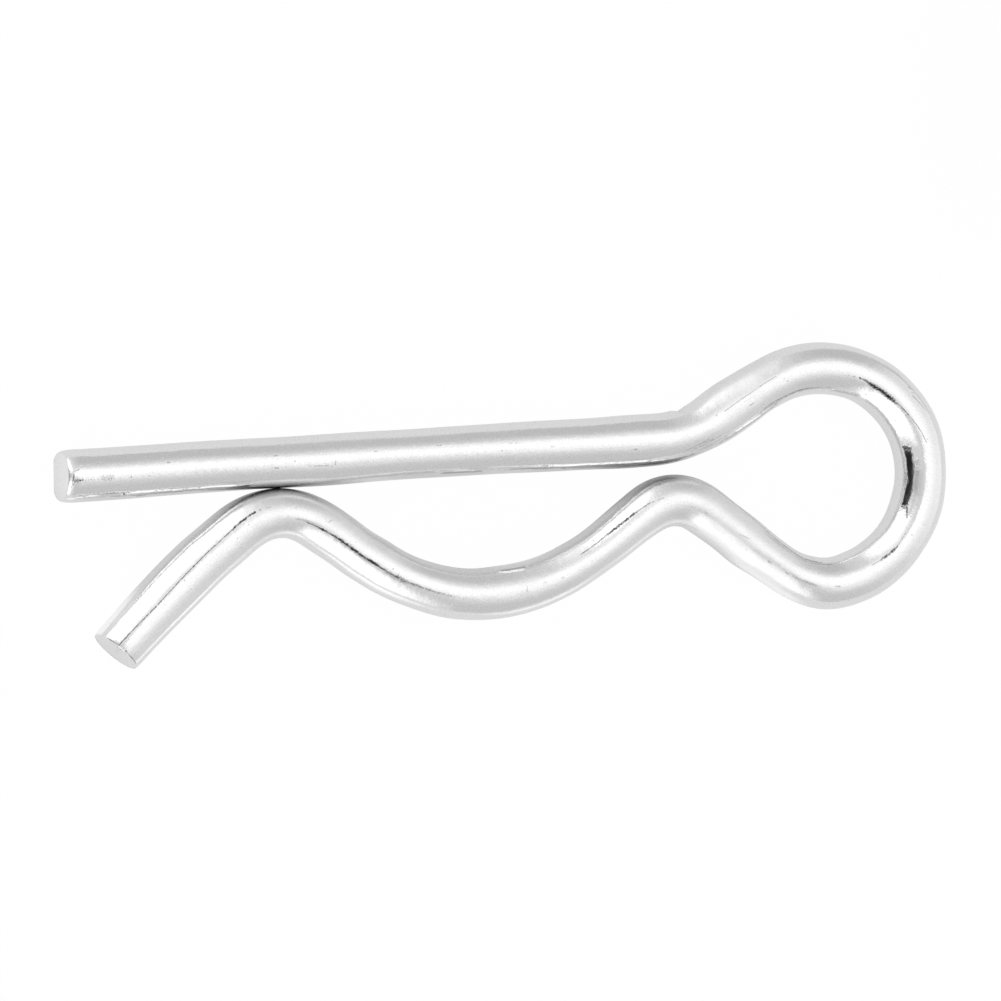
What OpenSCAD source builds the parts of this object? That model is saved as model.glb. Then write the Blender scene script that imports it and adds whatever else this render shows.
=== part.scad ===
// Hitch pin clip (R clip): one length of round spring wire, bent in the order that a wire bender works.
// The straight leg lies along X, the humped leg is on its -Y side, and the clip lies flat on z = 0.
// Units are millimetres and degrees.

/* [Part to draw] */
// Which piece to draw

/* [Wire] */
// Diameter of the round wire
wire_d = 3.8; // [2.4:0.1:4.6]
// Width of the worn bevel round each cut end
end_bevel = 0.25; // [0.05:0.05:0.6]

/* [Straight leg and kink] */
// Length of the straight leg, from its free end to the start of the kink
leg_l = 45.3; // [38:0.1:60]
// Inside radius of the kink where the leg turns up into the eye
kink_in_r = 7.3; // [4:0.1:12]
// Angle that the kink turns the wire through
kink_angle = 27.5; // [22:0.5:34]
// Depth the bending anvil is pressed into the inside of the kink
anvil_press = 0.35; // [0.1:0.05:0.5]
// Angle between the two faces of the bending anvil
anvil_angle = 140; // [100:1:142]

/* [Eye] */
// Length of the straight neck between the kink and the eye
neck_l = 5.6; // [2:0.1:9]
// Inside radius of the large upper arc of the eye
eye_in_r = 6; // [5.2:0.1:9]
// Angle that the upper arc turns the wire through
eye_turn = 175; // [150:1:190]
// Length of the short straight between the upper arc and the heel
heel_run = 0.6; // [0.3:0.1:4]
// Inside radius of the heel, the tighter lower arc of the eye
heel_in_r = 4.4; // [3:0.1:6.5]

/* [Humped leg] */
// Slope of the run from the heel up to the throat hump
heel_slope = 38.5; // [33:0.5:45]
// Inside radius of the throat hump, the one beside the eye
throat_in_r = 1.8; // [0.5:0.05:3]
// Open gap between the throat hump and the straight leg
throat_gap = 0.75; // [0.2:0.05:1.5]
// Slope of the run from the throat hump down to the seat
front_slope = 33; // [27:0.5:39]
// Inside radius of the seat that grips the shaft
seat_in_r = 12.9; // [7:0.1:16]
// Distance from the straight leg's axis to the seat, when nothing is gripped
seat_depth = 8.55; // [7.8:0.05:10.5]
// Slope of the run from the seat up to the snap hump
back_slope = 36; // [30:0.5:41]
// Inside radius of the snap hump, the one that snaps over the shaft
snap_in_r = 4.4; // [1:0.1:6]
// Clearance between the snap hump and the straight leg when nothing is gripped
snap_clearance = 0.1; // [0.05:0.05:1]

/* [Tail] */
// Angle between the straight leg and the tail where it leaves the snap hump
tail_angle = 36.5; // [30:0.5:46]
// Length of the tail beyond the snap hump
tail_l = 11.7; // [8:0.1:15]
// Angle that the tail curves on through, away from the straight leg
tail_bow = 9; // [3:0.5:14]
// Length that stays straight at each end of the tail, before and after its bow
tip_l = 1.5; // [0.8:0.1:3]

/* [Hidden] */
$fn = 36;
BEND_FN = 72;
bright_zinc = [0.80, 0.80, 0.80];
wire_r = wire_d / 2;
// Each straight run laps into the bends beside it, which are slimmer by a hair, so they join as one wire
lap = 0.06;
hair = 0.01;

// How far a bend of this inside radius rises while it turns from level to the slope
function rise(in_r, slope) = (in_r + wire_r) * (1 - cos(slope));

// A bend is [straight run before it, its inside radius, its turn: + to the left, - to the right]
FRONT = [
    [leg_l, kink_in_r, kink_angle],
    [neck_l, eye_in_r, -eye_turn],
    [heel_run, heel_in_r, eye_turn - kink_angle - heel_slope - 180]
];

// Where the wire is after i bends: [x, y, heading]
function after(bends, i) =
    i == 0 ? [0, 0, 0] :
    let (
        s = after(bends, i - 1),
        b = bends[i - 1],
        r = (b[1] + wire_r) * sign(b[2]),
        a = s[2] + b[2]
    )
    [
        s[0] + b[0] * cos(s[2]) + r * (sin(a) - sin(s[2])),
        s[1] + b[0] * sin(s[2]) - r * (cos(a) - cos(s[2])),
        a
    ];

// Heights of the wire's axis, and the straight runs that join them at the slopes given
throat_y = -wire_d - throat_gap;
seat_y = -seat_depth - wire_r;
snap_y = -wire_d - snap_clearance;
eye_end = after(FRONT, len(FRONT));
run_to_throat = (throat_y - eye_end[1] - rise(throat_in_r, heel_slope)) / sin(heel_slope);
run_to_seat =
    (throat_y - seat_y - rise(throat_in_r, front_slope) - rise(seat_in_r, front_slope)) / sin(front_slope);
run_to_snap =
    (snap_y - seat_y - rise(seat_in_r, back_slope) - rise(snap_in_r, back_slope)) / sin(back_slope);
bow_in_r = (tail_l - 2 * tip_l) * 180 / (PI * tail_bow) - wire_r;
BENDS = concat(FRONT, [
    [run_to_throat, throat_in_r, heel_slope + front_slope],
    [run_to_seat, seat_in_r, -front_slope - back_slope],
    [run_to_snap, snap_in_r, back_slope + tail_angle],
    [tip_l, bow_in_r, tail_bow]
]);
tip = after(BENDS, len(BENDS));

// The clip's outline, whose middle is moved to x = 0, y = 0
eye_start = after(FRONT, 1);
eye_axis = [
    eye_start[0] + neck_l * cos(kink_angle) + (eye_in_r + wire_r) * sin(kink_angle),
    eye_start[1] + neck_l * sin(kink_angle) - (eye_in_r + wire_r) * cos(kink_angle)
];
heel_y = eye_end[1] - rise(heel_in_r, heel_slope) - wire_r;
tip_angle = tail_angle + tail_bow;
tip_low = [
    tip[0] - (tip_l - end_bevel) * cos(tip_angle) - wire_r * sin(tip_angle),
    tip[1] - (tip_l - end_bevel) * sin(tip_angle) - wire_r * cos(tip_angle)
];
low = [min(0, tip_low[0]), min(heel_y, tip_low[1])];
high = eye_axis + (eye_in_r + wire_d) * [1, 1];

// A straight run of wire: a cut end is bevelled, and any other end laps into its bend
module straight(l, cut_start = false, cut_end = false) {
    z0 = cut_start ? end_bevel : -lap;
    z1 = l + (cut_end ? -end_bevel : lap);
    rotate([0, 90, 0]) {
        translate([0, 0, z0]) cylinder(h = z1 - z0, r = wire_r);
        if (cut_start) cylinder(h = end_bevel, r1 = wire_r - end_bevel, r2 = wire_r);
        if (cut_end) translate([0, 0, z1]) cylinder(h = end_bevel, r1 = wire_r, r2 = wire_r - end_bevel);
    }
}

// A bend that starts at the origin, heading along X
module bend(in_r, turn) {
    side = sign(turn);
    translate([0, side * (in_r + wire_r), 0])
        rotate([0, 0, -90 * side])
            rotate_extrude(angle = turn, $fn = BEND_FN)
                translate([in_r + wire_r, 0]) circle(r = wire_r - hair);
}

// The edge of the bending anvil, which stands across the wire at the inside of the kink
module anvil() {
    edge = kink_in_r + anvil_press;
    back = edge - wire_d / tan(anvil_angle / 2);
    translate([leg_l, kink_in_r + wire_r, -wire_d]) rotate([0, 0, kink_angle / 2 - 90])
        linear_extrude(height = 2 * wire_d)
            polygon([[edge, 0], [back, wire_d], [back, -wire_d]]);
}

module wire() {
    for (i = [0 : len(BENDS) - 1]) {
        s = after(BENDS, i);
        translate([s[0], s[1], 0]) rotate([0, 0, s[2]]) {
            straight(BENDS[i][0], cut_start = i == 0);
            translate([BENDS[i][0], 0, 0]) bend(BENDS[i][1], BENDS[i][2]);
        }
    }
    translate([tip[0], tip[1], 0]) rotate([0, 0, tip[2]])
        straight(tip_l, cut_end = true);
}

module clip() {
    color(bright_zinc)
        translate([-(low[0] + high[0]) / 2, -(low[1] + high[1]) / 2, wire_r])
            difference() {
                wire();
                anvil();
            }
}

clip();
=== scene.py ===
# %% [markdown]
# # A hitch pin clip, bent from one length of wire
# The clip is a spring: its straight leg goes through a cross hole in a shaft, and its humped leg
# snaps round the outside of that shaft. A wire bender makes it from one straight piece of bright
# wire, bend after bend, and it is zinc plated afterwards. This lesson builds it in the same order:
# path first, then the round section, the marks of the tools, the plating, and a light tent round it.

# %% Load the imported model
import bpy, math
import numpy as np
from mathutils import Matrix, Vector


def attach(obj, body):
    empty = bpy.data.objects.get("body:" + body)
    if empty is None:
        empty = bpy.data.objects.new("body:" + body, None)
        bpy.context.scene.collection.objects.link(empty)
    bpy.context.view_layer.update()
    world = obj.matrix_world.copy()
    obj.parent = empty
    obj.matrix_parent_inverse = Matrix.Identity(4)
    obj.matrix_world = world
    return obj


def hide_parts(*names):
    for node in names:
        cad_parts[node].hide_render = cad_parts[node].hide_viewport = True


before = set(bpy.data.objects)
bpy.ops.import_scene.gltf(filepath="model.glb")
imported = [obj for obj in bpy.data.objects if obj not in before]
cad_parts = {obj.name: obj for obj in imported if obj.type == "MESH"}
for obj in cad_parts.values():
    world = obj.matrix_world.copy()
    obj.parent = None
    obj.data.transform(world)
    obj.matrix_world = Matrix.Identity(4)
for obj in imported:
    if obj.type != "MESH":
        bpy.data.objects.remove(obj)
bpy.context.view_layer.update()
MM = 0.001

# %% [markdown]
# ## Camera
# Small parts are shot with a long lens, so that near and far ends come out at one scale. The camera
# stands 760 mm off and leans 19 degrees towards the free end of the straight leg, which is why both
# cut ends of the wire show their round faces. Its place is worked out from that lean, with no shift.

# %% Place the camera
AIM = Vector((-0.739, -0.020, 1.9)) * MM     # the middle of the picture, at the height of the wire's axis
CAMERA_DISTANCE = 760 * MM
LENS, SENSOR = 375.4, 36.0                   # mm
# turn of the picture, lean towards the leg's free end, lean across the leg
PLATE_TURN, LEAN_ALONG, LEAN_ACROSS = (math.radians(a) for a in (-3.147, -19.0, -1.0))

camera = bpy.data.objects.new("camera", bpy.data.cameras.new("camera"))
bpy.context.scene.collection.objects.link(camera)
stand = (Matrix.Rotation(PLATE_TURN, 3, "Z") @ Matrix.Rotation(LEAN_ALONG, 3, "Y")
         @ Matrix.Rotation(LEAN_ACROSS, 3, "X"))
camera.matrix_world = Matrix.Translation(AIM + stand @ Vector((0, 0, CAMERA_DISTANCE))) @ stand.to_4x4()
camera.data.lens, camera.data.sensor_width = LENS, SENSOR
camera.data.clip_start, camera.data.clip_end = 0.05, 20.0
bpy.context.scene.camera = camera
print("camera at, in mm:", [round(v / MM, 1) for v in camera.location])

# %% [markdown]
# ## The path of the wire
# A bender's card for this clip is a short list: feed so much wire, then bend it round a pin of this
# radius through that angle. A Bezier curve with a round bevel would be quicker, but its bends are
# never true arcs. Here the list is walked in small steps. The step from straight to arc is eased a
# little, as it is in real wire, which never changes its curve all at once.

# %% Walk the bend list
WIRE_R = 1.9
CLIP_MIDDLE = (33.98158, -3.76758)           # moves the clip's outline to the middle of the frame
STEP = 0.2                                   # mm of wire between two rings of the mesh
EASE = 1.6                                   # mm over which a bend begins and ends
LEG_BURR = 0.02                              # mm that the shear drew the leg's end out past its cut length

# Feed before the bend, inside radius of the pin, turn in degrees: + to the left, - to the right
BENDS = [
    (45.32, 7.13, 27.42),                    # straight leg, then the kink
    (5.70, 5.99, -173.47),                   # neck, then the eye
    (0.62, 4.41, -72.47),                    # heel, the tighter lower arc of the eye
    (7.45, 1.74, 71.24),                     # up to the throat hump
    (5.56, 12.80, -68.75),                   # down to the seat that grips the shaft
    (4.62, 3.91, 71.68),                     # up to the snap hump
    (0.0, 68.1, 10.03),                      # the tail bows on a little
]


def walk_wire(bends, step):
    """Points, headings and distances along the wire's axis, in mm, from the straight leg's free end."""
    curl = []
    for feed, pin, turn in bends:
        arc = math.radians(abs(turn)) * (pin + WIRE_R)
        curl += [(feed, 0.0), (arc, math.copysign(1 / (pin + WIRE_R), turn))]
    curl.insert(0, (LEG_BURR, 0.0))
    fine = 0.02
    kappa = np.concatenate([np.full(round(length / fine), k) for length, k in curl])
    window = round(EASE / fine)
    kappa = np.convolve(np.pad(kappa, window // 2, mode="edge"), np.ones(window) / window, "same")
    kappa = kappa[window // 2: window // 2 + len(kappa) - 2 * (window // 2)]
    heading = np.concatenate([[0], np.cumsum(kappa) * fine])
    middle = (heading[1:] + heading[:-1]) / 2
    xy = np.vstack([[0, 0], np.cumsum(np.c_[np.cos(middle), np.sin(middle)], axis=0) * fine]) - (LEG_BURR, 0)
    along = np.arange(len(xy)) * fine - LEG_BURR
    s = np.linspace(along[0], along[-1], round((along[-1] - along[0]) / step) + 1)
    points = np.c_[np.interp(s, along, xy[:, 0]), np.interp(s, along, xy[:, 1])]
    return points, np.interp(s, along, heading), s


axis, heading, along = walk_wire(BENDS, STEP)
print(f"{along[-1]:.1f} mm of wire, {len(along)} rings, tip at {axis[-1].round(2)}")


# %% [markdown]
# ## How the tools changed the round section
# Drawn wire is round to a hundredth of a millimetre, but a clip is not: each pin flattens the inside
# of its bend, the outside thins where it is stretched, and the tail was squeezed wide between the
# jaws that bent it last. The bender's hand also leaves each run a hair off its true line. These are
# small, broad changes, so each is one soft bump along the wire, given by its middle and its reach.

# %% Soft changes along the wire
BOTH, LEFT, RIGHT = (1, 1), (1, 0), (0, 1)   # the side of the wire's axis that a change is on
DRAWN_TO = 0.985                             # this coil's share of the nominal diameter, measured in plan
FLATTENS = 0.25                              # how much lower the wire gets for each part that it gets wider
PRESSED = [                                  # middle (mm along), reach (mm), change of the half width, sides
    (0.0, 6.0, 0.024, BOTH), (5.0, 3.0, 0.010, BOTH), (15.5, 6.0, -0.016, BOTH), (26.5, 7.0, -0.035, BOTH),
    (32.5, 4.5, -0.020, BOTH), (43.5, 4.0, 0.035, BOTH), (48.8, 1.8, -0.030, LEFT), (51.5, 3.5, 0.080, BOTH),
    (60.0, 5.0, 0.018, BOTH), (64.5, 2.2, 0.025, BOTH), (68.0, 5.0, 0.050, BOTH), (74.3, 3.0, 0.036, BOTH),
    (81.0, 5.5, 0.045, BOTH), (88.0, 4.0, -0.095, BOTH), (93.0, 2.4, -0.030, BOTH), (98.0, 3.0, 0.012, BOTH),
    (101.3, 2.4, -0.030, BOTH), (105.0, 5.0, -0.085, BOTH), (109.0, 2.4, -0.026, BOTH),
    (113.0, 2.5, 0.026, BOTH), (119.8, 3.6, -0.032, BOTH), (125.0, 2.6, -0.016, BOTH),
    (130.4, 3.2, -0.075, LEFT), (134.6, 2.8, 0.026, BOTH), (140.0, 9.0, 0.100, BOTH), (148.0, 6.0, 0.030, BOTH),
]
NUDGED = [                                   # middle (mm along), reach (mm), mm sideways, + to the left
    (2.5, 9.0, -0.070), (19.0, 5.5, -0.045), (42.5, 11.0, -0.085), (50.2, 2.4, -0.050), (54.2, 1.6, 0.045),
    (60.0, 5.5, -0.080), (68.6, 3.4, 0.068), (79.0, 3.0, 0.048), (84.0, 2.4, 0.090), (90.4, 2.8, 0.066),
    (104.0, 3.0, 0.080), (116.0, 3.4, 0.062), (124.4, 1.8, 0.055), (131.2, 3.4, -0.105), (135.6, 2.6, 0.050),
    (142.5, 7.0, 0.066),
]


def bump(distance, reach):
    """1 in the middle, easing to 0 at the reach on either side."""
    t = np.clip(np.abs(distance) / reach, 0, 1)
    return (1 + np.cos(math.pi * t)) / 2


left, right = (DRAWN_TO + sum(change * sides[i] * bump(along - middle, reach)
                              for middle, reach, change, sides in PRESSED) for i in (0, 1))
height = 1 - FLATTENS * np.clip(left + right - 2, 0, None)
nudge = sum(sideways * bump(along - middle, reach) for middle, reach, sideways in NUDGED)
print(f"width in plan from {WIRE_R * (left + right).min():.2f} to {WIRE_R * (left + right).max():.2f} mm")

# %% [markdown]
# ## Sweeping the section into a mesh
# One ring of points stands at every step, square to the wire. A point is named by two numbers that
# the plating uses later: how far along the wire it is, and how far round it is from the top. The
# bending anvil leaves a shallow crease across the inside of the kink, so rings there are cut back to
# its two faces. At both ends the wire was sheared a little off square and its rim is worn round. The
# shear also rolled the underside of the leg's end flat, and a few knocks have marked the wire since.

# %% Rings along the wire
AROUND = 72                                  # points in a ring: 5 degrees each
CREASE_AT, CREASE_PRESS, CREASE_SLOPE = 48.1, 0.36, math.tan(math.radians(20))
ROLLED_TO, ROLLED_OVER = 0.76, 0.9           # the leg's flat underside: share of the radius left, mm to fade
LEG_RIM, TAIL_RIM = 0.15, 0.06               # mm, the worn bevel round each cut end
# mm in from the cut, share of the bevel there
RIM_STEPS = [(0.0, 1.0), (0.05, 0.80), (0.15, 0.57), (0.31, 0.35), (0.54, 0.16), (0.84, 0.05)]
END_ZONE = 0.95                              # mm at each end that the rings of the rim take up
FACE_STEPS = [0.86, 0.70, 0.52, 0.34, 0.16]  # rings on a cut face, as shares of the radius
LEG_SHEAR, TAIL_SHEAR = (0.07, 0.045), (0.07, 0.0)      # lean of a cut face, per mm up and per mm left
DENTS = [                                    # mm along, mm round, reach in mm, depth in mm (raised, if below 0)
    (48.3, 1.45, 0.35, 0.020), (55.9, -0.10, 0.40, 0.012), (70.3, -1.30, 0.35, 0.015),
    (72.5, -1.25, 0.60, -0.030),
]

angle = np.arange(AROUND + 1) / AROUND * 2 * math.pi - math.pi      # from the top; + is the left side
side, rise = np.sin(angle), np.cos(angle)


def ring(s, shrink=0.0, push=0.0):
    """Points of one ring, in mm: s along the wire, less shrink off its radius, pushed along the wire."""
    x, y = (np.interp(s, along, axis[:, i]) for i in (0, 1))
    a, l, r, h, aside = (np.interp(s, along, v) for v in (heading, left, right, height, nudge))
    radius = WIRE_R - shrink - sum(deep * bump(np.hypot(s - at, angle * WIRE_R - turned), reach)
                                   for at, turned, reach, deep in DENTS)
    u = radius * np.where(side > 0, l, r) * side
    v = radius * h * rise
    u = np.minimum(u, WIRE_R - CREASE_PRESS + abs(s - CREASE_AT) * CREASE_SLOPE)
    rolled = 1 - (1 - ROLLED_TO) * bump(s - along[0], ROLLED_OVER)
    v = np.maximum(v, -(WIRE_R - shrink) * rolled)
    lean = push(u, v) if callable(push) else push
    u = u + aside
    x, y = x + lean * math.cos(a) - u * math.sin(a), y + lean * math.sin(a) + u * math.cos(a)
    return np.c_[x, y, v + WIRE_R]


def cut_end(s_end, inward, slant, rim):
    """Rings from the middle of a cut face out over its worn rim, each with its place along the wire."""
    def push(u, v, fade=1.0):
        return (slant[0] * v + slant[1] * u) * fade
    rings = [(ring(s_end, WIRE_R * (1 - share), push), s_end) for share in FACE_STEPS[::-1]]
    for depth, drop in RIM_STEPS:
        s = s_end + inward * depth
        rings.append((ring(s, rim * drop, lambda u, v, d=depth: push(u, v, 1 - d)), s))
    return rings


start = cut_end(along[0], 1, LEG_SHEAR, LEG_RIM)
finish = cut_end(along[-1], -1, [-lean for lean in TAIL_SHEAR], TAIL_RIM)[::-1]
body = [(ring(s), s) for s in along if along[0] + END_ZONE < s < along[-1] - END_ZONE]
rings = start + body + finish
print(len(rings), "rings")

# %% [markdown]
# The rings are joined by quads, and the last ring at each end is closed with a fan. The lay of the
# wire, in mm along and mm round, goes into the mesh at each face corner, not at each point, so that
# the two sides of the seam keep their own numbers. The seam runs along the underside.

# %% Join the rings into one closed mesh
shift = np.array([*CLIP_MIDDLE, 0.0])
points = np.vstack([r[:AROUND] for r, _ in rings])
middles = np.array([rings[0][0][:AROUND].mean(0), rings[-1][0][:AROUND].mean(0)])
points = (np.vstack([points, middles]) - shift) * MM
first_hub, last_hub = len(points) - 2, len(points) - 1

faces, lay = [], []
arc_mm = angle * WIRE_R
for i in range(len(rings) - 1):
    s0, s1 = rings[i][1], rings[i + 1][1]
    for j in range(AROUND):
        k = (j + 1) % AROUND
        faces.append((i * AROUND + j, (i + 1) * AROUND + j, (i + 1) * AROUND + k, i * AROUND + k))
        lay += [(s0, arc_mm[j], 0), (s1, arc_mm[j], 0), (s1, arc_mm[j + 1], 0), (s0, arc_mm[j + 1], 0)]
for hub, row, flip in ((first_hub, 0, True), (last_hub, len(rings) - 1, False)):
    for j in range(AROUND):
        k = (j + 1) % AROUND
        corner = [(row * AROUND + j, arc_mm[j]), (row * AROUND + k, arc_mm[j + 1]), (hub, 0.0)]
        for index, r in (corner if flip else corner[::-1]):
            lay.append((rings[row][1], r, 0))
        faces.append(tuple(index for index, _ in (corner if flip else corner[::-1])))

mesh = bpy.data.meshes.new("wire_clip")
mesh.from_pydata([tuple(p) for p in points], [], faces)
wire_lay = mesh.attributes.new("wire_lay", "FLOAT_VECTOR", "CORNER")
wire_lay.data.foreach_set("vector", np.array(lay, "f").ravel())
mesh.polygons.foreach_set("use_smooth", [True] * len(mesh.polygons))
mesh.validate()
mesh.update()
wire_clip = bpy.data.objects.new("wire_clip", mesh)
bpy.context.scene.collection.objects.link(wire_clip)
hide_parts("clip")
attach(wire_clip, "root")
print(len(mesh.vertices), "points,", sum(len(f) - 2 for f in faces), "triangles")

# %% [markdown]
# ## Where the plating is hazy
# Plating comes out brightest on the straight runs and the outsides of bends. Where a tool rubbed, it
# is duller, often on one side only. Where two runs of the clip face each other closely, shade is
# painted dark into the plating's colour. Both are slow changes, so the mesh keeps each as one number a point.

# %% Haze, and painted shade between runs
CLEAR = 0.11                                 # roughness of the plating where no row below changes it
HAZED = [                                    # middle (mm along), reach (mm), roughness added, sides
    (0.0, 14.0, -0.05, BOTH), (20.0, 34.0, 0.07, LEFT), (24.0, 20.0, 0.04, BOTH), (45.5, 5.0, 0.04, BOTH),
    (53.0, 8.5, 0.24, LEFT), (65.0, 7.0, -0.04, BOTH), (79.0, 5.0, 0.06, BOTH), (87.0, 5.0, 0.09, BOTH),
    (93.5, 10.0, 0.25, BOTH), (106.0, 8.0, 0.10, RIGHT), (112.5, 7.0, 0.08, BOTH), (115.0, 7.0, 0.08, RIGHT),
    (126.5, 7.5, 0.26, RIGHT), (132.5, 4.0, 0.12, BOTH), (143.0, 7.0, -0.04, BOTH),
]
PAINTED_SHADE_ZONES = [                                     # painted shade between close runs: middle (mm along, mm round), reach of each (mm), how dark
    (19.0, -2.1, 7.0, 1.5, 0.35), (42.0, -2.2, 9.0, 1.1, 0.45), (96.5, -3.0, 5.0, 3.2, 0.65),
    (122.5, -3.0, 6.5, 3.2, 0.60), (133.0, -3.0, 6.0, 3.2, 0.60),
]
places = np.array([s for _, s in rings])
on_side = {BOTH: np.ones(AROUND), LEFT: (1 + side[:AROUND]) / 2, RIGHT: (1 - side[:AROUND]) / 2}
haze = CLEAR + sum(np.outer(added * bump(places - middle, reach), on_side[sides])
                   for middle, reach, added, sides in HAZED)
worn = sum(np.outer(dark * bump(places - s, far), bump(arc_mm[:AROUND] - r, wide))
           for s, r, far, wide, dark in PAINTED_SHADE_ZONES)
for name, table in (("haze", haze), ("worn", worn)):
    per_point = np.concatenate([table.ravel(), table[[0, -1], 0]])
    mesh.attributes.new(name, "FLOAT", "POINT").data.foreach_set("value", per_point.astype("f"))
print(f"roughness from {haze.min():.2f} to {haze.max():.2f}")

# %% [markdown]
# A chip in the drawing die left a fine raised line along one side of the wire, 1.76 mm round from the
# top. Bending and plating wore it away in places, so its strength is kept point by point as well.

# %% Strength of the die line
DIE_LINE = [                                 # middle (mm along), reach (mm), strength
    (1.8, 1.4, 0.75), (6.5, 4.5, 1.1), (11.3, 3.0, 1.2), (30.0, 2.5, 0.5), (40.5, 9.5, 1.2), (52.0, 3.5, 0.8),
    (61.5, 2.5, 0.5), (111.9, 1.6, 0.9),
]
raised = sum(strength * bump(places - middle, reach) for middle, reach, strength in DIE_LINE)
raised = np.concatenate([np.repeat(raised, AROUND), raised[[0, -1]]])
mesh.attributes.new("die_line", "FLOAT", "POINT").data.foreach_set("value", raised.astype("f"))
print("the die line shows on", round(float((raised > 0.3).mean()) * 100), "% of the wire")

# %% [markdown]
# ## Scratches, rubbed lines and painted dark lines
# The tools scored the wire along its length, most of all on the tail and at the throat, and dirt sits
# in the scores. Some strokes are painted shade instead: dark lines and spots where the metal would
# mirror something dark. Each is a short stroke from one place on the wire to another. A painted mask would
# need a picture, and one chain of nodes a stroke soon fills the shader. So each point of the mesh is
# told where it stands in the frame of its nearest stroke. Those numbers run evenly from point to
# point, and the shader can draw a line from them that is much finer than the mesh.

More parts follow.
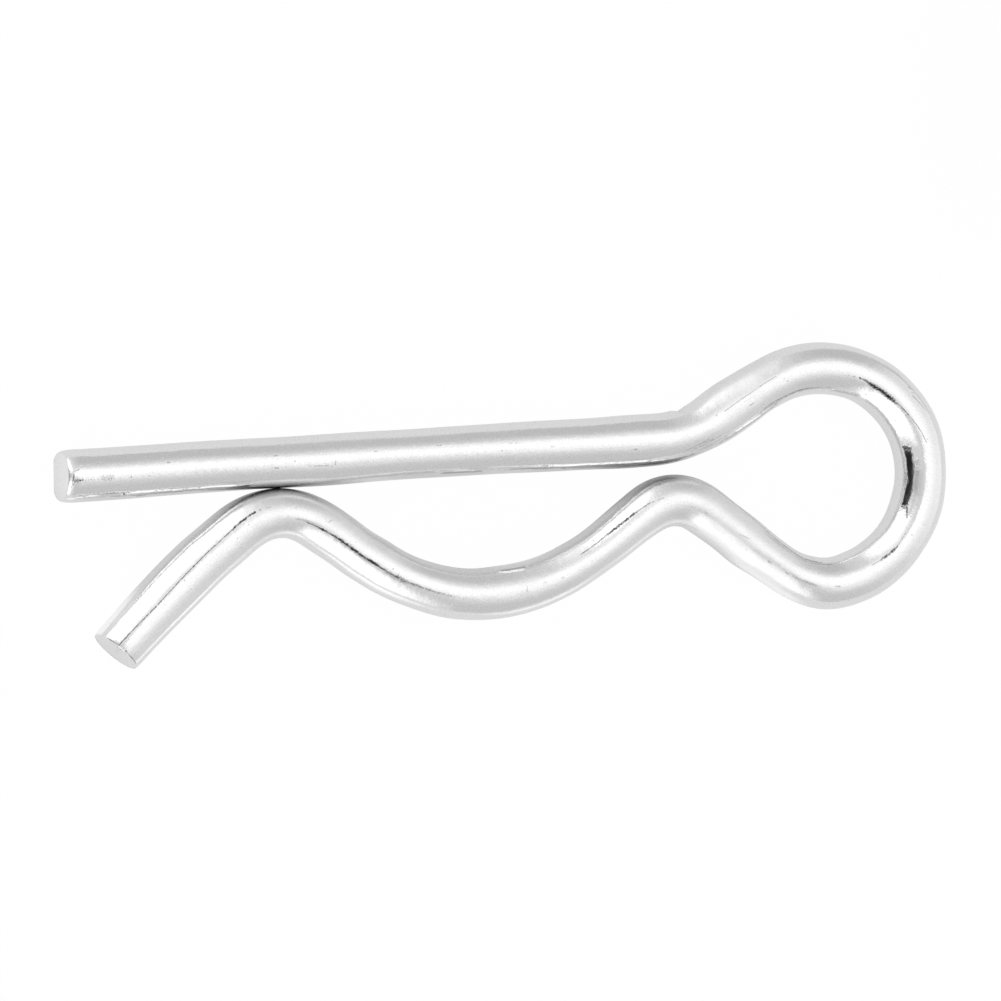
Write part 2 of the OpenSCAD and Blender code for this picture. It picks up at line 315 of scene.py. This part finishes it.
# %% Strokes of dirt and score, and of painted shade
# from (mm along, mm round) to (mm along, mm round), half width in mm, how dark
STROKES = [
    # at the leg's end: painted dark reflections on the worn rim, and a grey smudge painted where the white
    # band's edge dips
    (0.32, -0.14, 0.34, 0.12, 0.07, 0.75), (0.74, 0.46, 0.84, 0.52, 0.05, 0.50),
    (0.66, -0.42, 0.74, -0.32, 0.05, 0.50), (0.24, -0.85, 0.30, -0.35, 0.04, 0.40),
    (2.6, -0.21, 3.3, -0.21, 0.20, 0.24),
    # along the tail
    (132.1, -0.72, 132.4, -0.74, 0.05, 0.40), (133.2, -0.74, 135.0, -0.62, 0.070, 0.95),
    (135.0, -0.62, 138.5, -0.50, 0.038, 0.85), (138.5, -0.50, 142.9, -0.42, 0.038, 0.80),
    (142.9, -0.42, 147.0, -0.56, 0.040, 0.90),
    # down the throat
    (101.3, -0.82, 103.8, -0.92, 0.080, 0.95), (103.8, -0.92, 106.4, -0.84, 0.045, 0.70),
    (99.8, -0.70, 101.3, -0.82, 0.050, 0.65), (98.9, -0.53, 99.3, -0.58, 0.05, 0.30),
    # low in the eye
    (78.4, -0.41, 79.5, -0.46, 0.090, 0.90), (76.8, -0.52, 78.4, -0.41, 0.032, 0.50),
    (79.5, -0.46, 80.6, -0.50, 0.030, 0.50),
    # along the top of the eye, and outside it
    (62.1, -0.33, 63.3, -0.50, 0.055, 1.0), (63.3, -0.51, 65.6, -0.47, 0.125, 1.0),
    (65.6, -0.42, 67.2, -0.30, 0.045, 0.85), (67.2, -0.30, 69.6, 0.05, 0.030, 0.65),
    (66.3, 0.92, 67.6, 1.10, 0.040, 0.45), (65.7, 1.22, 65.9, 1.26, 0.06, 0.40),
    # inside the eye
    (69.4, -1.68, 69.7, -1.25, 0.130, 0.85), (74.9, -1.25, 75.7, -0.98, 0.055, 0.90),
    # from the seat to the snap hump
    (129.4, 0.40, 128.3, 0.38, 0.045, 0.95), (128.3, 0.38, 126.9, 0.32, 0.080, 1.0),
    (126.9, 0.32, 123.2, 0.33, 0.100, 1.0), (123.2, 0.33, 121.3, 0.37, 0.055, 0.95),
    (121.3, 0.37, 119.9, 0.45, 0.025, 0.50), (127.8, -0.62, 127.9, -0.36, 0.035, 0.40),
    # on the neck
    (50.7, 0.33, 52.2, 0.36, 0.034, 0.40), (52.2, 0.36, 55.4, 0.47, 0.036, 0.40),
    (52.6, -0.34, 52.9, -0.35, 0.05, 0.40),
    # round the rim of the tail's end
    (147.06, -1.55, 147.06, -0.60, 0.025, 0.40), (147.06, 0.05, 147.06, 1.60, 0.035, 0.60),
    # rubbed beside the kink
    (47.0, -1.18, 48.8, -0.92, 0.040, 0.30), (47.6, -1.32, 49.6, -1.12, 0.035, 0.35),
    # along the inside of the run from the heel to the throat: a painted dark line, where the die line mirrors
    # the shaded inside of the clip
    (96.3, -1.95, 93.0, -2.05, 0.045, 0.55), (93.0, -2.05, 90.6, -1.70, 0.045, 0.50),
    (90.6, -1.68, 87.3, -1.56, 0.060, 0.55), (87.3, -1.56, 84.9, -1.70, 0.055, 0.50),
    # under the throat hump
    (97.6, 2.05, 96.4, 2.26, 0.04, 0.30), (96.4, 2.28, 95.0, 2.00, 0.04, 0.30),
    # along the top of the run from the heel to the throat
    (89.1, 0.50, 89.4, 0.50, 0.06, 0.45), (87.6, 0.44, 87.8, 0.46, 0.05, 0.50),
    (83.6, 0.20, 83.9, 0.20, 0.06, 0.35), (91.6, 0.00, 92.4, 0.22, 0.035, 0.35),
    (95.3, 0.38, 95.6, 0.38, 0.05, 0.30),
    # on the seat
    (121.0, 0.30, 121.2, 0.28, 0.05, 0.50), (111.3, -0.20, 111.4, 0.18, 0.035, 0.30),
    (109.8, -0.10, 110.0, -0.08, 0.05, 0.30), (108.4, 0.10, 108.6, 0.10, 0.05, 0.35),
    # on the straight leg
    (15.5, 0.60, 15.8, 0.60, 0.05, 0.40), (15.6, -0.34, 15.8, -0.36, 0.06, 0.45),
    (18.6, -0.34, 19.6, -0.40, 0.035, 0.40), (20.1, -0.32, 20.2, -0.10, 0.045, 0.45),
    (5.5, -2.15, 5.7, -2.15, 0.11, 0.45),
    # under the die line: painted shade, where the lower side of the wire mirrors the dark under it
    (3.4, -1.96, 8.8, -1.98, 0.045, 0.40), (35.5, -1.95, 38.0, -2.00, 0.050, 0.35),
    (38.0, -2.10, 42.0, -2.12, 0.120, 0.35), (42.0, -2.12, 46.6, -2.08, 0.150, 0.50),
    # small marks on top of the straight leg
    (23.2, 0.45, 23.4, 0.45, 0.05, 0.35), (28.0, 0.60, 28.3, 0.60, 0.05, 0.30),
    (36.7, 0.0, 36.9, 0.0, 0.05, 0.30), (43.1, -0.55, 43.3, -0.55, 0.06, 0.40),
    (7.5, 0.60, 7.7, 0.60, 0.05, 0.40), (33.5, 0.45, 33.7, 0.45, 0.05, 0.30),
]
FRAME_REACH = 0.32                           # mm off a stroke: farther out, where frames meet, there is no stroke
at = [(s, r) for _, s in rings for r in arc_mm[:AROUND]] + [(rings[0][1], 0.0), (rings[-1][1], 0.0)]
at = np.array(at)
nearest, off_mm = np.full(len(at), np.inf), np.full(len(at), np.inf)
stroke_frame = np.zeros((len(at), 4), "f")   # across, along and half its length, in half widths; how dark
for s0, r0, s1, r1, half, dark in STROKES:
    run = np.array([s1 - s0, r1 - r0])
    length = np.hypot(*run)
    gone = at - (np.array([s0, r0]) + run / 2)
    lengthwise, across = gone @ run / length / half, (gone @ (-run[1], run[0])) / length / half
    away = np.hypot(across, np.clip(np.abs(lengthwise) - length / 2 / half, 0, None))
    mine = away < nearest
    nearest[mine], off_mm[mine] = away[mine], away[mine] * half
    stroke_frame[mine] = np.c_[across, lengthwise, np.full((len(at), 2), (length / 2 / half, dark))][mine]
stroke_frame[off_mm > FRAME_REACH, 3] = 0.0
mesh.attributes.new("stroke_frame", "FLOAT_COLOR", "POINT").data.foreach_set("color", stroke_frame.ravel())
print(len(STROKES), "strokes, closest point", round(float(nearest.min()), 2), "half widths off")

# %% [markdown]
# ## Colours and nodes
# Colours are written as they look on a screen. Blender mixes light in linear values, so one function
# turns a hex colour into those, and one small function adds a node with its settings and links.

# %% Two helpers
def linear(hex_colour):
    """An sRGB hex colour as linear red, green, blue and alpha."""
    parts = [int(hex_colour.lstrip("#")[i:i + 2], 16) / 255 for i in (0, 2, 4)]
    return tuple(c / 12.92 if c <= 0.04045 else ((c + 0.055) / 1.055) ** 2.4 for c in parts) + (1.0,)


def node(tree, kind, inputs=None, **settings):
    """Adds one node. An input is a number, a colour, or an output of another node to link from."""
    made = tree.nodes.new("ShaderNode" + kind)
    for name, value in settings.items():
        setattr(made, name, value)
    for name, value in (inputs or {}).items():
        if isinstance(value, bpy.types.NodeSocket):
            tree.links.new(value, made.inputs[name])
        else:
            made.inputs[name].default_value = value
    return made


print("mid grey is", round(linear("#808080")[0], 3), "in linear light")

# %% [markdown]
# ## Bright zinc plate: the relief of its skin
# Zinc plate on drawn wire is a thin bright layer, electroplated and then dipped to brighten it. It
# mirrors the tent round it, so its relief shows only in how the edges of those mirrored bands wander.
# Four sizes of relief lie on it: broad waves from drawing, a soft dimpling of the plate, fine lines
# that run along the wire, and grit. Real grit is near 0.02 mm, too fine for this camera, so it is
# drawn at 0.14 mm, about two pixels wide.

# %% Relief of the skin
STRETCH = (0.05, 1.0, 1.0)                   # drawing lines are twenty times as long as they are wide
zinc = bpy.data.materials.new("bright_zinc_plate")
zinc.use_nodes = True
tree = zinc.node_tree
tree.nodes.clear()
place = node(tree, "TexCoord").outputs["Object"]
in_mm = node(tree, "VectorMath", {0: place, "Scale": 1 / MM}, operation="SCALE").outputs["Vector"]
on_wire = node(tree, "Attribute", attribute_name="wire_lay").outputs["Vector"]
drawn = node(tree, "VectorMath", {0: on_wire, 1: STRETCH}, operation="MULTIPLY").outputs["Vector"]

RELIEF = [                                   # pattern's own place, grain in mm, height in mm
    (in_mm, 2.40, 0.022), (in_mm, 0.60, 0.012), (drawn, 0.35, 0.007), (in_mm, 0.14, 0.0045),
]
skin_mm = 0.0
for where, grain_mm, high in RELIEF:
    noise = node(tree, "TexNoise", {"Vector": where, "Scale": 1 / grain_mm, "Detail": 2.0})
    added = node(tree, "Math", {0: noise.outputs["Fac"], 1: high, 2: skin_mm}, operation="MULTIPLY_ADD")
    skin_mm = added.outputs[0]
print(len(RELIEF), "sizes of relief, highest", max(high for _, _, high in RELIEF), "mm")

# %% [markdown]
# Plating also leaves pits where gas sat on the wire. They lie at random about two millimetres apart
# and are a tenth across. A Voronoi pattern gives one point to each cell, and only some cells get a pit.

# %% Pits
PIT_CELL, PIT_SHARE, PIT_ACROSS, PIT_DEEP = 1.22, 0.36, 0.11, 0.016     # mm, share of cells, mm, mm
cells = node(tree, "TexVoronoi", {"Vector": on_wire, "Scale": 1 / PIT_CELL}, voronoi_dimensions="2D")
draw = node(tree, "SeparateXYZ", {0: cells.outputs["Color"]})
reach = node(tree, "MapRange", {"Value": draw.outputs["X"], "From Min": 1 - PIT_SHARE, "From Max": 1.0,
                                "To Min": 0.0, "To Max": PIT_ACROSS / PIT_CELL})
pit = node(tree, "MapRange", {"Value": cells.outputs["Distance"], "From Min": 0.0,
                              "From Max": reach.outputs[0], "To Min": 1.0, "To Max": 0.0},
           interpolation_type="SMOOTHSTEP").outputs[0]
pitted_mm = node(tree, "Math", {0: pit, 1: -PIT_DEEP, 2: skin_mm}, operation="MULTIPLY_ADD").outputs[0]
print("a pit for", round(PIT_SHARE * 100), "cells in a hundred")

# %% [markdown]
# The die line is a small ridge with straight flanks. Only a steep flank mirrors the top of the tent
# from down on the side of the wire, so it shows there as a thin white line with a dark one below it.

# %% Raise the die line
LINE_AT, LINE_HALF, LINE_HIGH = -1.76, 0.22, 0.31                      # mm round, mm, mm
waver = node(tree, "TexNoise", {"Vector": on_wire, "Scale": 1 / 3.0, "Detail": 2.0})
waver = node(tree, "MapRange", {"Value": waver.outputs["Fac"], "From Min": 0.3, "From Max": 0.7,
                                "To Min": -0.06, "To Max": 0.06})
mm_round = node(tree, "SeparateXYZ", {0: on_wire}).outputs["Y"]
mm_round = node(tree, "Math", {0: mm_round, 1: waver.outputs[0]}, operation="ADD")
from_line = node(tree, "Math", {0: mm_round.outputs[0], 1: -LINE_AT}, operation="ADD")
from_line = node(tree, "Math", {0: from_line.outputs[0]}, operation="ABSOLUTE")
ridge = node(tree, "MapRange", {"Value": from_line.outputs[0], "From Min": 0.0, "From Max": LINE_HALF,
                                "To Min": LINE_HIGH, "To Max": 0.0})
unworn = node(tree, "TexNoise", {"Vector": on_wire, "Scale": 1 / 0.9, "Detail": 2.0})
unworn = node(tree, "MapRange", {"Value": unworn.outputs["Fac"], "From Min": 0.36, "From Max": 0.48,
                                 "To Min": 0.45, "To Max": 1.0})
strength = node(tree, "Attribute", attribute_name="die_line").outputs["Fac"]
unworn = node(tree, "Math", {0: unworn.outputs[0], 1: strength}, operation="MULTIPLY")
lined_mm = node(tree, "Math", {0: ridge.outputs[0], 1: unworn.outputs[0], 2: pitted_mm},
                operation="MULTIPLY_ADD").outputs[0]
print("the line's flanks lean", round(math.degrees(math.atan(LINE_HIGH / LINE_HALF))), "degrees")

# %% [markdown]
# The strokes come next. A noise pushes the place across each one about by up to a third of its width,
# which makes its edges ragged, and a second noise makes it fainter in places.

# %% Draw the strokes
strokes = node(tree, "Attribute", attribute_name="stroke_frame")
frame_of = node(tree, "SeparateXYZ", {0: strokes.outputs["Vector"]})
jitter = node(tree, "TexNoise", {"Vector": in_mm, "Scale": 1 / 0.12, "Detail": 2.0})
jitter = node(tree, "MapRange", {"Value": jitter.outputs["Fac"], "From Min": 0.3, "From Max": 0.7,
                                 "To Min": -0.65, "To Max": 0.65}, clamp=False)
across = node(tree, "Math", {0: frame_of.outputs["X"], 1: jitter.outputs[0]}, operation="ADD")
past = node(tree, "Math", {0: frame_of.outputs["Y"]}, operation="ABSOLUTE")
past = node(tree, "Math", {0: past.outputs[0], 1: frame_of.outputs["Z"]}, operation="SUBTRACT")
past = node(tree, "Math", {0: past.outputs[0], 1: 0.0}, operation="MAXIMUM")
away = node(tree, "CombineXYZ", {0: across.outputs[0], 1: past.outputs[0]})
away = node(tree, "VectorMath", {0: away.outputs[0]}, operation="LENGTH")
near = node(tree, "MapRange", {"Value": away.outputs["Value"], "From Min": 0.4, "From Max": 1.5,
                               "To Min": 1.0, "To Max": 0.0}, interpolation_type="SMOOTHSTEP")
broken = node(tree, "TexNoise", {"Vector": on_wire, "Scale": 1 / 0.45, "Detail": 2.0})
kept = node(tree, "MapRange", {"Value": broken.outputs["Fac"], "From Min": 0.36, "From Max": 0.52,
                               "To Min": 0.55, "To Max": 1.0})
dirt_and_painted_shade = node(tree, "Math", {0: near.outputs[0], 1: kept.outputs[0]}, operation="MULTIPLY")
dirt_and_painted_shade = node(tree, "Math", {0: dirt_and_painted_shade.outputs[0], 1: strokes.outputs["Alpha"]}, operation="MULTIPLY").outputs[0]
print("strokes are about", round(2 * sum(row[4] for row in STROKES) / len(STROKES), 2), "mm wide")

# %% [markdown]
# ## Colour and gloss
# Bright zinc reflects most of the light that falls on it, evenly in red, green and blue. The plate
# varies by less than a tenth from grain to grain. It is darker in a pit or a score, and in strokes of
# painted shade. Shade is also painted into it where two runs of the clip face each other closely.
# Ambient occlusion finds such places: it measures how closely one part of the surface faces another.

# %% Finish of the plating
PIT_DARKENING, SCORE_DEEP = 0.20, 0.012           # how dark a pit is, and how many mm deep a score is
grain = node(tree, "TexNoise", {"Vector": in_mm, "Scale": 1 / 0.11, "Detail": 1.0})
tone = node(tree, "MapRange", {"Value": grain.outputs["Fac"], "From Min": 0.3, "From Max": 0.7})
plate = node(tree, "Mix", {"Factor": tone.outputs[0], 6: linear("#E8E8E8"), 7: linear("#F3F3F3")},
             data_type="RGBA")
# painted shade: the plating is darkened where ambient occlusion finds two runs of the clip close together,
# within the painted shade zones
facing = node(tree, "AmbientOcclusion", {"Distance": 3.0 * MM}, samples=8, only_local=True)
contact_shade = node(tree, "MapRange", {"Value": facing.outputs["AO"], "From Min": 0.35, "From Max": 0.95,
                                 "To Min": 1.0, "To Max": 0.0})
painted_shade_zone = node(tree, "Attribute", attribute_name="worn").outputs["Fac"]
contact_shade = node(tree, "Math", {0: contact_shade.outputs[0], 1: painted_shade_zone}, operation="MULTIPLY")
in_pit = node(tree, "Math", {0: pit, 1: PIT_DARKENING}, operation="MULTIPLY")
worst = node(tree, "Math", {0: in_pit.outputs[0], 1: dirt_and_painted_shade}, operation="MAXIMUM")
worst = node(tree, "Math", {0: worst.outputs[0], 1: contact_shade.outputs[0]}, operation="MAXIMUM")
# dark pits, dirt in scores, and painted shade from the strokes and between close runs
colour = node(tree, "Mix", {"Factor": worst.outputs[0], 6: plate.outputs[2], 7: linear("#383838")},
              data_type="RGBA")

cloudy = node(tree, "TexNoise", {"Vector": in_mm, "Scale": 1 / 2.5, "Detail": 4.0})
cloudy = node(tree, "MapRange", {"Value": cloudy.outputs["Fac"], "From Min": 0.35, "From Max": 0.65,
                                 "To Min": 0.8, "To Max": 1.25})
hazed = node(tree, "Attribute", attribute_name="haze").outputs["Fac"]
rough = node(tree, "Math", {0: hazed, 1: cloudy.outputs[0]}, operation="MULTIPLY")
scored_mm = node(tree, "Math", {0: dirt_and_painted_shade, 1: -SCORE_DEEP, 2: lined_mm}, operation="MULTIPLY_ADD").outputs[0]
skin = node(tree, "Bump", {"Height": scored_mm, "Strength": 1.0, "Distance": MM})
shine = node(tree, "BsdfPrincipled", {"Base Color": colour.outputs[2], "Metallic": 1.0,
                                      "Roughness": rough.outputs[0], "Normal": skin.outputs["Normal"]})
node(tree, "OutputMaterial", {"Surface": shine.outputs["BSDF"]})
mesh.materials.append(zinc)
print("zinc nodes:", len(tree.nodes))

# %% [markdown]
# ## Floor
# The clip lies on a wide sheet of white paper. Most of what the camera gets from it is its own white,
# so that it stays white all the way, and the rest is lit from above, so that it keeps a faint shadow
# under the wire. Metal sees more of the paper's own glow than a camera does, since it looks along the
# paper. Light and shade are painted into that glow: painted light where lamps would stand under the
# sheet, painted shade between the runs of the clip, and painted shade in the far right corner, which is
# darker in its colour as well.

# %% White sheet
SHEET_REACH = 4.0                            # metres each way, so that a low camera still sees paper
SHADE_X, SHADE_Y = (30 * MM, 40 * MM), (10 * MM, 26 * MM)   # where painted shade darkens the sheet's colour and glow
GLOW, CORNER_PAINTED_SHADE = 0.79, 0.14               # the sheet's own glow as metal sees it, and the painted shade that the corner takes off it
OWN_TO_CAMERA, OWN_TO_METAL = 0.985, 0.70    # share of the sheet's own light in what each of them gets
PAINTED_LIGHT_PATCHES = [                              # painted light and shade in the sheet's glow: middle (x, y) and reach in mm, how much more or less
    (-15, -19, 8, 0.45), (9, -20, 8, 0.45), (18.5, -11, 4, 0.35), (-14, -13, 5, 0.25), (-32, -5, 3, 0.35),
    (-36.5, 4, 2.5, 0.14), (-28, 0.5, 5, -0.10), (-13.5, 0.2, 3.5, -0.22), (-4, -0.5, 5, -0.16),
    (6, 0.5, 5, -0.16), (11, 0.2, 4, -0.26), (18, -3, 5, -0.14),
]
floor_mesh = bpy.data.meshes.new("sheet")
corners = [(x * SHEET_REACH, y * SHEET_REACH, 0) for x, y in ((-1, -1), (1, -1), (1, 1), (-1, 1))]
floor_mesh.from_pydata(corners, [], [(0, 1, 2, 3)])
floor = bpy.data.objects.new("sheet", floor_mesh)
floor.location.z = -0.02 * MM                # a hair under the clip, so that the two never share a plane
bpy.context.scene.collection.objects.link(floor)
paper = bpy.data.materials.new("white_paper")
paper.use_nodes = True
tree = paper.node_tree
tree.nodes.clear()
here = node(tree, "TexCoord").outputs["Object"]
spot = node(tree, "SeparateXYZ", {0: here})
back, beside = (node(tree, "MapRange", {"Value": spot.outputs[name], "From Min": near, "From Max": far},
                     interpolation_type="SMOOTHSTEP").outputs[0]
                for name, (near, far) in (("Y", SHADE_Y), ("X", SHADE_X)))
corner = node(tree, "Math", {0: back, 1: beside}, operation="MULTIPLY")
# painted shade: the sheet's colour darkens towards its far right corner
sheet = node(tree, "Mix", {"Factor": corner.outputs[0], 6: linear("#FAFAFA"), 7: linear("#C0C0C0")},
             data_type="RGBA")
painted_light = 0.0
for x, y, patch, more in PAINTED_LIGHT_PATCHES:
    gone = node(tree, "VectorMath", {0: here, 1: (x * MM, y * MM, 0.0)}, operation="DISTANCE")
    painted_patch = node(tree, "MapRange", {"Value": gone.outputs["Value"], "From Min": patch * 0.5 * MM,
                                    "From Max": patch * 1.3 * MM, "To Min": more, "To Max": 0.0},
                 interpolation_type="SMOOTHSTEP")
    painted_light = node(tree, "Math", {0: painted_patch.outputs[0], 1: painted_light}, operation="ADD").outputs[0]
# the sheet's glow, less the corner's painted shade, plus the patches of painted light and shade
glow = node(tree, "Math", {0: corner.outputs[0], 1: -CORNER_PAINTED_SHADE, 2: GLOW}, operation="MULTIPLY_ADD")
glow = node(tree, "Math", {0: glow.outputs[0], 1: painted_light}, operation="ADD")
ray = node(tree, "LightPath")
glow = node(tree, "Math", {0: glow.outputs[0], 1: ray.outputs["Is Camera Ray"]}, operation="MAXIMUM")
mirrored = node(tree, "Math", {0: ray.outputs["Is Glossy Ray"], 1: ray.outputs["Is Transmission Ray"]},
                operation="MAXIMUM")
own = node(tree, "Math", {0: ray.outputs["Is Camera Ray"], 1: OWN_TO_CAMERA}, operation="MULTIPLY")
own = node(tree, "Math", {0: mirrored.outputs[0], 1: OWN_TO_METAL, 2: own.outputs[0]}, operation="MULTIPLY_ADD")
matt = node(tree, "BsdfDiffuse", {"Color": sheet.outputs[2]})
white = node(tree, "Emission", {"Color": linear("#FFFFFF"), "Strength": glow.outputs[0]})
both = node(tree, "MixShader", {0: own.outputs[0], 1: matt.outputs[0], 2: white.outputs[0]})
node(tree, "OutputMaterial", {"Surface": both.outputs[0]})
floor_mesh.materials.append(paper)
print("sheet is", 2 * SHEET_REACH, "m square")

# %% [markdown]
# ## Light tent
# A bright metal looks like what stands round it, so it is shot in a tent of white cloth with lamps
# behind. Plain area lamps would give hard white bars. Here the tent is the world itself: a base of
# grey cloth, and soft-edged panels laid over it, each one brighter or darker than the cloth.

# %% Panels of the tent
# middle (degrees round from +X, degrees up), half width, half height, softness of sides, of ends, brightness
PANELS = [
    (-60, 26, 32, 76, 11, 15, 0.63), (60, 7, 20, 51, 19, 13, 0.58), (-4, 20, 22, 70, 84, 10, 1.06),
    (-121, 35, 27, 34, 24, 24, 1.45), (128, 34, 31, 33, 18, 24, 1.35), (10, 67, 78, 2, 60, 80, 1.35),
    (34, 78, 29, 15, 44, 80, 1.35), (174, 23, 26, 17, 6, 7, 0.02), (160, 55, 24, 6, 7, 65, 0.29),
]
world = bpy.data.worlds.new("light_tent")
bpy.context.scene.world = world
world.use_nodes = True
tree = world.node_tree
tree.nodes.clear()
look = node(tree, "TexCoord").outputs["Generated"]
xyz = node(tree, "SeparateXYZ", {0: look})
turn = node(tree, "Math", {0: xyz.outputs["Y"], 1: xyz.outputs["X"]}, operation="ARCTAN2")
azimuth = node(tree, "Math", {0: turn.outputs[0]}, operation="DEGREES").outputs[0]
up = node(tree, "Math", {0: xyz.outputs["Z"]}, operation="ARCSINE")
elevation = node(tree, "Math", {0: up.outputs[0]}, operation="DEGREES").outputs[0]
cloth = 0.74
for round_at, up_at, half_wide, half_high, soft_sides, soft_ends, bright in PANELS:
    shares = []
    for source, middle, half, soft in ((azimuth, round_at, half_wide, soft_sides),
                                       (elevation, up_at, half_high, soft_ends)):
        off = node(tree, "Math", {0: source, 1: middle}, operation="SUBTRACT")
        off = node(tree, "Math", {0: off.outputs[0], 1: 180.0, 2: -180.0}, operation="WRAP")
        away = node(tree, "Math", {0: off.outputs[0]}, operation="ABSOLUTE")
        shares.append(node(tree, "MapRange", {"Value": away.outputs[0], "From Min": half - soft / 2,
                                              "From Max": half + soft / 2, "To Min": 1.0, "To Max": 0.0},
                           interpolation_type="SMOOTHSTEP").outputs["Result"])
    panel = node(tree, "Math", {0: shares[0], 1: shares[1]}, operation="MULTIPLY")
    cloth = node(tree, "Mix", {0: panel.outputs[0], 2: cloth, 3: bright}, data_type="FLOAT").outputs[0]
print(len(PANELS), "panels")

# %% [markdown]
# Two panels don't quite meet, and the dark room shows through the slit between them. It is what draws
# the thin black line along the top of the eye. A straight slit is part of a great circle, so it is
# given by its two ends, and a direction is in it if it is nearly square to that circle's pole.

# %% Slit between two panels
SLIT_ENDS, SLIT_HALF, SLIT_BRIGHT = ((-86, 65), (-54, 68)), 2.9, 0.02       # degrees, degrees, brightness
ends = [Vector((math.cos(u) * math.cos(a), math.cos(u) * math.sin(a), math.sin(u)))
        for a, u in (map(math.radians, end) for end in SLIT_ENDS)]
off = node(tree, "VectorMath", {0: look, 1: ends[0].cross(ends[1]).normalized()}, operation="DOT_PRODUCT")
across = node(tree, "Math", {0: off.outputs["Value"]}, operation="ABSOLUTE")
thin = node(tree, "MapRange", {"Value": across.outputs[0], "From Min": math.radians(SLIT_HALF * 0.6),
                               "From Max": math.radians(SLIT_HALF * 1.4), "To Min": 1.0, "To Max": 0.0},
            interpolation_type="SMOOTHSTEP")
off = node(tree, "Math", {0: azimuth, 1: (SLIT_ENDS[0][0] + SLIT_ENDS[1][0]) / 2}, operation="SUBTRACT")
away = node(tree, "Math", {0: off.outputs[0]}, operation="ABSOLUTE")
half_long = (SLIT_ENDS[1][0] - SLIT_ENDS[0][0]) / 2
short = node(tree, "MapRange", {"Value": away.outputs[0], "From Min": half_long - 2,
                                "From Max": half_long + 4, "To Min": 1.0, "To Max": 0.0},
             interpolation_type="SMOOTHSTEP")
slit = node(tree, "Math", {0: thin.outputs[0], 1: short.outputs[0]}, operation="MULTIPLY")
cloth = node(tree, "Mix", {0: slit.outputs[0], 2: cloth, 3: SLIT_BRIGHT}, data_type="FLOAT").outputs[0]
sky = node(tree, "Background", {"Color": linear("#FFFFFF"), "Strength": cloth})
node(tree, "OutputWorld", {"Surface": sky.outputs[0]})
print("tent nodes:", len(tree.nodes))

# %% [markdown]
# ## Last settings
# The Standard view shows a colour as it is written.

bpy.context.scene.view_settings.view_transform = "Standard"
